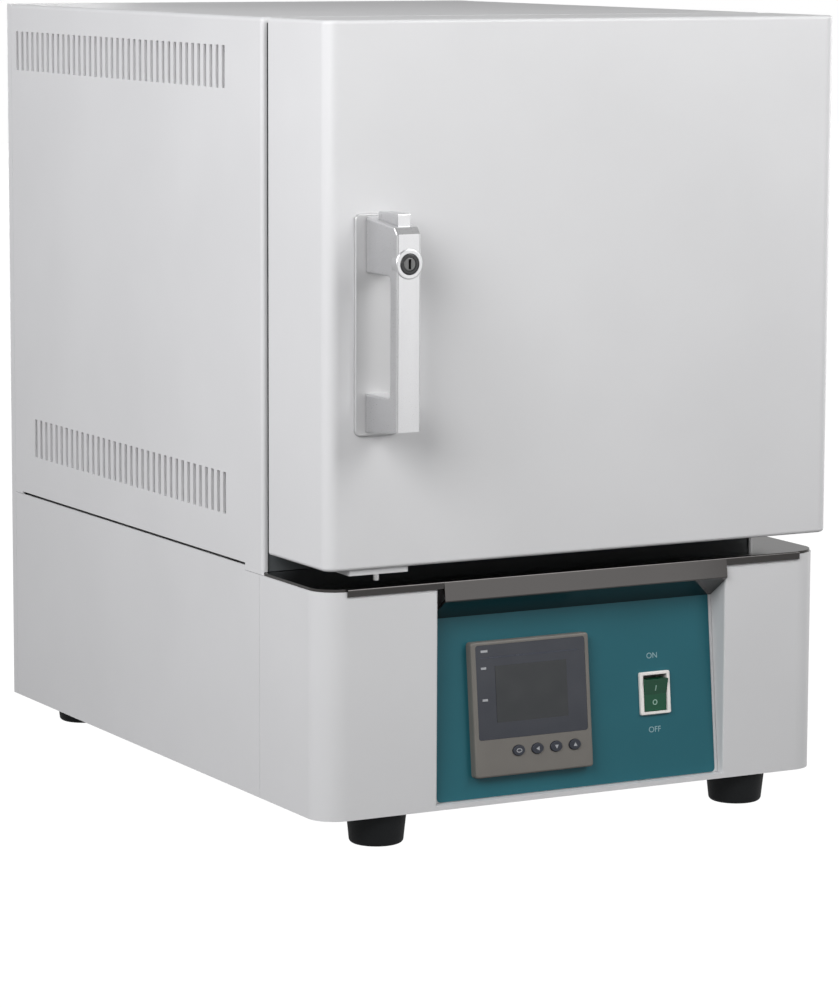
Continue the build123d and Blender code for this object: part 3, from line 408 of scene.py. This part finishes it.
key_marks = ((oval_ring(2.3, 1.5, 0.55), 0), (arrow, 90), (arrow, 180), (arrow, 0))
for number, (outlines, angle) in enumerate(key_marks, 1):
    place = on_panel(first_key + key_pitch * (number - 1), key_row, key_out)
    turned = panel_turn @ Matrix.Rotation(math.radians(angle), 4, "Z")
    mark = flat_mark(f"key_mark_{number}", outlines, place, turned, 0.08)
    piece_from(mark, f"key_mark_{number}", f"controller_key_{number}", mark_white)
print("key marks", len(key_marks))

# %% [markdown]
# ON and OFF stand above and below the switch in plain capitals, printed on the film. On the rocker
# itself a stroke and a ring are moulded in. Text is made a mesh, and then put in its place.

# %% Words and signs at the switch
film_grey = smooth("film_grey", (0.27, 0.42, 0.45), (0.24, 0.39, 0.42), 0.35, spread=0.06)
film_out = 0.45
letter_size = 5.9
word_across = 69.6
rocker_across = 70.2


def printed_word(text, name, up):
    """A word in plain capitals that lies on the film."""
    curve = bpy.data.curves.new(name, "FONT")
    curve.body = text
    curve.size = letter_size * millimetre
    curve.align_x = "CENTER"
    curve.align_y = "CENTER"
    curve.extrude = 0.03 * millimetre
    holder = bpy.data.objects.new(name + "_curve", curve)
    bpy.context.scene.collection.objects.link(holder)
    mesh = bpy.data.meshes.new_from_object(holder.evaluated_get(bpy.context.evaluated_depsgraph_get()))
    bpy.data.objects.remove(holder)
    mesh.name = name
    mesh.transform(Matrix.Translation(on_panel(word_across, up, film_out)) @ panel_turn)
    return piece_from(mesh, name, "cabinet", film_grey)


printed_word("ON", "word_on", 89.2)
printed_word("OFF", "word_off", 35.8)

rocker_mark = smooth("rocker_mark", (0.30, 0.48, 0.40), (0.26, 0.43, 0.36), 0.4, spread=0.06)
for name, outlines, up, out, slope in (
    ("rocker_stroke", bar(0.8, 4.2), 66.0, 3.16, 19.76),
    ("rocker_ring", oval_ring(2.0, 2.0, 0.7), 55.6, 1.24, 2.3),
):
    turned = panel_turn @ Matrix.Rotation(math.radians(slope), 4, "X")
    sign = flat_mark(name, outlines, on_panel(rocker_across, up, out), turned)
    piece_from(sign, name, "switch_rocker", rocker_mark)
print("words at the switch")

# %% [markdown]
# Repeats come from Geometry Nodes. A small tree is built here, its inputs are named, and the result
# is kept as a plain mesh, one for each body. The base mesh only says where: points for screws, lines
# for the heating wire and for the rope.

# %% Helpers for Geometry Nodes
def node_tree(name, inputs):
    """An empty tree with a geometry input, further named inputs, and its two end nodes."""
    tree = bpy.data.node_groups.new(name, "GeometryNodeTree")
    tree.interface.new_socket("Geometry", in_out="INPUT", socket_type="NodeSocketGeometry")
    for title, kind in inputs.items():
        tree.interface.new_socket(title, in_out="INPUT", socket_type=kind)
    tree.interface.new_socket("Geometry", in_out="OUTPUT", socket_type="NodeSocketGeometry")
    return tree, tree.nodes.new("NodeGroupInput"), tree.nodes.new("NodeGroupOutput")


def grown(name, base, tree, values, body, material):
    """Runs a tree on a base mesh, keeps the result as a plain mesh, and lets it ride on a body."""
    holder = bpy.data.objects.new(name + "_base", base)
    bpy.context.scene.collection.objects.link(holder)
    modifier = holder.modifiers.new("grow", "NODES")
    modifier.node_group = tree
    sockets = {item.name: item.identifier for item in tree.interface.items_tree if item.in_out == "INPUT"}
    for title, value in values.items():
        modifier[sockets[title]] = value
    bpy.context.view_layer.update()
    mesh = bpy.data.meshes.new_from_object(holder.evaluated_get(bpy.context.evaluated_depsgraph_get()))
    holder.modifiers.remove(modifier)
    bpy.data.objects.remove(holder)
    mesh.name = name
    return piece_from(mesh, name, body, material)


def lines(name, points, edges=()):
    """A base mesh of points, joined by edges where they are given."""
    mesh = bpy.data.meshes.new(name)
    mesh.from_pydata([tuple(p) for p in points], edges, [])
    return mesh


def wired(tree, *rows):
    """Links from one node's output to another node's input, one row for each link."""
    for source, output, target, entry in rows:
        tree.links.new(source.outputs[output], target.inputs[entry])


def finish_end(tree, source, output, out, material):
    """Realize Instances and Set Material close every tree."""
    real = tree.nodes.new("GeometryNodeRealizeInstances")
    paint = tree.nodes.new("GeometryNodeSetMaterial")
    paint.inputs["Material"].default_value = material
    wired(
        tree,
        (source, output, real, "Geometry"),
        (real, "Geometry", paint, "Geometry"),
        (paint, "Geometry", out, 0),
    )


def maths(tree, operation, second=None):
    """A node for one sum; the second number is set where it is fixed."""
    node = tree.nodes.new("ShaderNodeMath")
    node.operation = operation
    if second is not None:
        node.inputs[1].default_value = second
    return node


def rounded_off(piece):
    """Shades a piece smooth."""
    for polygon in piece.data.polygons:
        polygon.use_smooth = True


print("node helpers ready")

# %% [markdown]
# The heating wire is wound into a close spiral that lies in each groove of the side boards. One
# spiral is made along the groove, and points one above another carry four copies.

# %% Heating coils
groove_count = 4
coil_turns = 52.0
coil_wire_radius = 0.0009
coil_clearance = 0.001
coil_tree, coil_in, coil_out = node_tree(
    "coil_windings", {title: "NodeSocketFloat" for title in ("Length", "Turns", "Radius", "Wire")}
)
spiral = coil_tree.nodes.new("GeometryNodeCurveSpiral")
spiral.inputs["Resolution"].default_value = 12
wire_ring = coil_tree.nodes.new("GeometryNodeCurvePrimitiveCircle")
wire_ring.inputs["Resolution"].default_value = 6
winding = coil_tree.nodes.new("GeometryNodeCurveToMesh")
lay_down = coil_tree.nodes.new("GeometryNodeTransform")
lay_down.inputs["Rotation"].default_value = (-math.pi / 2, 0, 0)
on_grooves = coil_tree.nodes.new("GeometryNodeInstanceOnPoints")
wired(
    coil_tree,
    (coil_in, "Turns", spiral, "Rotations"),
    (coil_in, "Radius", spiral, "Start Radius"),
    (coil_in, "Radius", spiral, "End Radius"),
    (coil_in, "Length", spiral, "Height"),
    (coil_in, "Wire", wire_ring, "Radius"),
    (spiral, "Curve", winding, "Curve"),
    (wire_ring, "Curve", winding, "Profile Curve"),
    (winding, "Mesh", lay_down, "Geometry"),
    (coil_in, "Geometry", on_grooves, "Points"),
    (lay_down, "Geometry", on_grooves, "Instance"),
)
finish_end(coil_tree, on_grooves, "Instances", coil_out, wire_oxide)
for side in ("left", "right"):
    low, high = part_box(f"heating_coils_{side}")
    coil_radius = (high.x - low.x) / 2
    rise = (high.z - low.z - 2 * coil_radius) / (groove_count - 1)
    middle_x = (low.x + high.x) / 2
    front_y = low.y + coil_clearance
    starts = [(middle_x, front_y, low.z + coil_radius + n * rise) for n in range(groove_count)]
    values = {
        "Length": high.y - low.y - 2 * coil_clearance,
        "Turns": coil_turns,
        "Radius": coil_radius - coil_clearance,
        "Wire": coil_wire_radius,
    }
    grooves = lines(f"grooves_{side}", starts)
    coil = grown(f"coil_wire_{side}", grooves, coil_tree, values, "cabinet", wire_oxide)
    rounded_off(coil)
    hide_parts(f"heating_coils_{side}")
print("coil faces", len(coil.data.polygons))

# %% [markdown]
# The door's seal is a twisted rope of ceramic fibre. Its line runs round the chamber mouth with round
# corners and butts at the bottom. The tree tilts the line as it runs, and a profile with four lobes
# turns that tilt into strands.

# %% Rope seal
lobe_count = 4
rope_turns = 22
rope_rings = 900
rope_tree, rope_in, rope_out = node_tree(
    "rope_strands", {title: "NodeSocketFloat" for title in ("Turns", "Radius")}
)
along = rope_tree.nodes.new("GeometryNodeMeshToCurve")
even = rope_tree.nodes.new("GeometryNodeResampleCurve")
even.inputs["Count"].default_value = rope_rings
share_along = rope_tree.nodes.new("GeometryNodeSplineParameter")
twist = maths(rope_tree, "MULTIPLY")
tilted = rope_tree.nodes.new("GeometryNodeSetCurveTilt")
lobe_ring = rope_tree.nodes.new("GeometryNodeCurvePrimitiveCircle")
lobe_ring.inputs["Resolution"].default_value = 24
ring_share = rope_tree.nodes.new("GeometryNodeSplineParameter")
ring_angle = maths(rope_tree, "MULTIPLY", lobe_count * 2 * math.pi)
ring_wave = maths(rope_tree, "COSINE")
ring_size = rope_tree.nodes.new("ShaderNodeMapRange")
ring_size.inputs["From Min"].default_value = -1
ring_size.inputs["To Min"].default_value = 0.80
ring_size.inputs["To Max"].default_value = 1.0
ring_place = rope_tree.nodes.new("GeometryNodeInputPosition")
ring_scale = rope_tree.nodes.new("ShaderNodeVectorMath")
ring_scale.operation = "SCALE"
ring_set = rope_tree.nodes.new("GeometryNodeSetPosition")
strands = rope_tree.nodes.new("GeometryNodeCurveToMesh")
strands.inputs["Fill Caps"].default_value = True
wired(
    rope_tree,
    (rope_in, "Geometry", along, "Mesh"),
    (along, "Curve", even, "Curve"),
    (share_along, "Factor", twist, 0),
    (rope_in, "Turns", twist, 1),
    (even, "Curve", tilted, "Curve"),
    (twist, 0, tilted, "Tilt"),
    (rope_in, "Radius", lobe_ring, "Radius"),
    (ring_share, "Factor", ring_angle, 0),
    (ring_angle, 0, ring_wave, 0),
    (ring_wave, 0, ring_size, "Value"),
    (ring_place, "Position", ring_scale, 0),
    (ring_size, "Result", ring_scale, "Scale"),
    (lobe_ring, "Curve", ring_set, "Geometry"),
    (ring_scale, "Vector", ring_set, "Position"),
    (tilted, "Curve", strands, "Curve"),
    (ring_set, "Geometry", strands, "Profile Curve"),
)
finish_end(rope_tree, strands, "Mesh", rope_out, rope_fibre)

seal_low, seal_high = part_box("door_seal")
half_seal_width = 0.006
rope_clearance = 0.0001
rope_butt_gap = 0.0005
rope_radius = (seal_high.y - seal_low.y) / 2 - rope_clearance
rope_bend = 0.014
bend_steps = 8
rope_mid = (seal_low + seal_high) / 2
half_wide = (seal_high.x - seal_low.x) / 2 - half_seal_width
half_high = (seal_high.z - seal_low.z) / 2 - half_seal_width
rope_line = [(rope_mid.x, rope_mid.y, rope_mid.z - half_high)]
for corner, (across, up) in enumerate(((1, -1), (1, 1), (-1, 1), (-1, -1))):
    bend_x = rope_mid.x + across * (half_wide - rope_bend)
    bend_z = rope_mid.z + up * (half_high - rope_bend)
    for step in range(bend_steps + 1):
        angle = math.radians(-90 + corner * 90 + step * 90 / bend_steps)
        point = (bend_x + rope_bend * math.cos(angle), rope_mid.y, bend_z + rope_bend * math.sin(angle))
        rope_line.append(point)
rope_line.append((rope_mid.x - rope_butt_gap, rope_mid.y, rope_mid.z - half_high))
rope_base = lines("rope_line", rope_line, [(n, n + 1) for n in range(len(rope_line) - 1)])
rope_values = {"Turns": 2 * math.pi * rope_turns, "Radius": rope_radius}
rope = grown("seal_rope", rope_base, rope_tree, rope_values, "door", rope_fibre)
rounded_off(rope)
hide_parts("door_seal")
print("rope faces", len(rope.data.polygons))

# %% [markdown]
# Socket screws hold the rear cover and the hinge leaves. One head is a short cylinder from which a
# six-sided recess is cut. Points carry the copies, and one turn lays them outwards.

# %% Socket screws
screw_tree, screw_in, screw_out = node_tree("socket_screws", {
    "Radius": "NodeSocketFloat", "Height": "NodeSocketFloat", "Turn": "NodeSocketRotation",
})
head = screw_tree.nodes.new("GeometryNodeMeshCylinder")
head.inputs["Vertices"].default_value = 32
recess = screw_tree.nodes.new("GeometryNodeMeshCylinder")
recess.inputs["Vertices"].default_value = 6
recess_radius = maths(screw_tree, "MULTIPLY", 0.55)
recess_lift = screw_tree.nodes.new("GeometryNodeTransform")
lift_vector = screw_tree.nodes.new("ShaderNodeCombineXYZ")
lift_share = maths(screw_tree, "MULTIPLY", 0.4)
cut = screw_tree.nodes.new("GeometryNodeMeshBoolean")
cut.operation = "DIFFERENCE"
on_places = screw_tree.nodes.new("GeometryNodeInstanceOnPoints")
wired(
    screw_tree,
    (screw_in, "Radius", head, "Radius"),
    (screw_in, "Height", head, "Depth"),
    (screw_in, "Radius", recess_radius, 0),
    (recess_radius, 0, recess, "Radius"),
    (screw_in, "Height", recess, "Depth"),
    (screw_in, "Height", lift_share, 0),
    (lift_share, 0, lift_vector, "Z"),
    (recess, "Mesh", recess_lift, "Geometry"),
    (lift_vector, 0, recess_lift, "Translation"),
    (head, "Mesh", cut, "Mesh 1"),
    (recess_lift, "Geometry", cut, "Mesh 2"),
    (screw_in, "Geometry", on_places, "Points"),
    (cut, "Mesh", on_places, "Instance"),
    (screw_in, "Turn", on_places, "Rotation"),
)
finish_end(screw_tree, on_places, "Instances", screw_out, turned_steel)

rear_radius = 0.0035
leaf_radius = 0.0038
head_height = 0.002
leaf_sheet = 0.003
half_leaf_height = 0.015
leaf_screw_rows = (0.007, 0.021)
low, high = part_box("rear_screws")
places = [(x, (low.y + high.y) / 2, z)
          for x in (low.x + rear_radius, (low.x + high.x) / 2, high.x - rear_radius)
          for z in (low.z + rear_radius, high.z - rear_radius)]
rear_values = {"Radius": rear_radius, "Height": head_height, "Turn": (-math.pi / 2, 0, 0)}
rear_heads = grown("rear_screw_heads", lines("rear_places", places), screw_tree, rear_values, "cabinet",
                   turned_steel)
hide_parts("rear_screws")

leaf_values = {"Radius": leaf_radius, "Height": head_height, "Turn": (0, math.pi / 2, 0)}
leaf_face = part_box("cabinet_leaves")[0].x + leaf_sheet
for body in ("cabinet", "door"):
    low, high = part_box(f"{body}_leaves")
    leaf_places = [(leaf_face + head_height / 2, high.y - back if body == "cabinet" else low.y + back, z)
                   for back in leaf_screw_rows
                   for z in (low.z + half_leaf_height, high.z - half_leaf_height)]
    grown(f"{body}_leaf_heads", lines(f"{body}_leaf_places", leaf_places), screw_tree, leaf_values, body,
          turned_steel)
    places += leaf_places
print("screw heads", len(places))

# %% [markdown]
# The studio is a pale floor under a white room. The camera sees pure white behind the furnace, and
# metal sees it more weakly. The furnace itself is lit by a modest sky and six soft lamps. Two stand
# near and high in front, so the fronts grow darker downwards. A low one in front is what the handle's
# face mirrors. The others stand at the sides and behind, so no side is dark from another camera.

# %% Floor, sky and lamps
def white_share(tree, path, to_camera, to_metal):
    """How white the background shows itself to the camera, and to metal and glass."""
    straight = maths(tree, "MULTIPLY", to_camera)
    mirrored = maths(tree, "MAXIMUM")
    weak = maths(tree, "MULTIPLY_ADD", to_metal)
    wired(
        tree,
        (path, "Is Camera Ray", straight, 0),
        (path, "Is Glossy Ray", mirrored, 0),
        (path, "Is Transmission Ray", mirrored, 1),
        (mirrored, 0, weak, 0),
        (straight, 0, weak, 2),
    )
    return weak.outputs[0]


floor_mesh = bpy.data.meshes.new("studio_floor")
floor_reach = 8
floor_corners = [(x * floor_reach, y * floor_reach, 0) for x, y in ((-1, -1), (1, -1), (1, 1), (-1, 1))]
floor_mesh.from_pydata(floor_corners, [], [(0, 1, 2, 3)])
studio_floor = bpy.data.objects.new("studio_floor", floor_mesh)
bpy.context.scene.collection.objects.link(studio_floor)
floor_paint = bpy.data.materials.new("floor_paint")
floor_paint.use_nodes = True
floor_tree = floor_paint.node_tree
floor_shader = floor_tree.nodes["Principled BSDF"]
floor_shader.inputs["Base Color"].default_value = (0.13, 0.13, 0.13, 1)
floor_shader.inputs["Roughness"].default_value = 0.9
floor_output = floor_tree.nodes["Material Output"]
seen = floor_tree.nodes.new("ShaderNodeLightPath")
white = floor_tree.nodes.new("ShaderNodeEmission")
white.inputs["Strength"].default_value = 1.14
pick = floor_tree.nodes.new("ShaderNodeMixShader")
floor_tree.links.new(white_share(floor_tree, seen, 0.9, 0.45), pick.inputs["Fac"])
floor_tree.links.new(floor_shader.outputs[0], pick.inputs[1])
floor_tree.links.new(white.outputs[0], pick.inputs[2])
floor_tree.links.new(pick.outputs[0], floor_output.inputs["Surface"])
floor_mesh.materials.append(floor_paint)

world = bpy.data.worlds.new("studio_sky")
bpy.context.scene.world = world
world.use_nodes = True
sky_tree = world.node_tree
sky = sky_tree.nodes["Background"]
sky.inputs["Color"].default_value = (1, 1, 1, 1)
sky_path = sky_tree.nodes.new("ShaderNodeLightPath")
sky_place = sky_tree.nodes.new("ShaderNodeTexCoord")
sky_parts = sky_tree.nodes.new("ShaderNodeSeparateXYZ")
sky_height = sky_tree.nodes.new("ShaderNodeMapRange")
sky_height.inputs["To Min"].default_value = 0.28
sky_height.inputs["To Max"].default_value = 0.04
sky_level = sky_tree.nodes.new("ShaderNodeMapRange")
sky_level.inputs["To Max"].default_value = 1.0
sky_tree.links.new(sky_place.outputs["Generated"], sky_parts.inputs["Vector"])
sky_tree.links.new(sky_parts.outputs["Z"], sky_height.inputs["Value"])
sky_tree.links.new(sky_height.outputs["Result"], sky_level.inputs["To Min"])
sky_tree.links.new(white_share(sky_tree, sky_path, 1.0, 0.35), sky_level.inputs["Value"])
sky_tree.links.new(sky_level.outputs["Result"], sky.inputs["Strength"])


def soft_lamp(name, place, aim, size, power, tint=(1, 1, 1)):
    """A square soft lamp that looks at a point."""
    data = bpy.data.lights.new(name, "AREA")
    data.shape = "SQUARE"
    data.size = size
    data.energy = power
    data.color = tint
    lamp = bpy.data.objects.new(name, data)
    bpy.context.scene.collection.objects.link(lamp)
    lamp.location = place
    lamp.rotation_euler = (Vector(aim) - Vector(place)).to_track_quat("-Z", "Y").to_euler()
    return lamp


soft_lamp("front_right_lamp", (0.55, -1.1, 1.08), (0.05, -0.25, 0.54), 0.8, 9.5)
soft_lamp("front_left_lamp", (-1.15, -1.0, 1.0), (-0.2, -0.2, 0.54), 0.8, 16)
soft_lamp("side_lamp", (-1.4, 0.1, 1.0), (-0.21, 0.0, 0.45), 0.8, 9, (0.98, 0.98, 1.0))
soft_lamp("low_lamp", (0.8, -2.15, 0.42), (-0.2, -0.3, 0.4), 0.9, 2.3)
soft_lamp("right_lamp", (1.9, 0.2, 0.65), (0.2, 0, 0.35), 1.1, 13)
soft_lamp("back_lamp", (0.3, 2.4, 0.5), (0, 0.2, 0.3), 1.0, 12)
print("lamps ready")

# %% View settings
bpy.context.scene.view_settings.view_transform = "Standard"
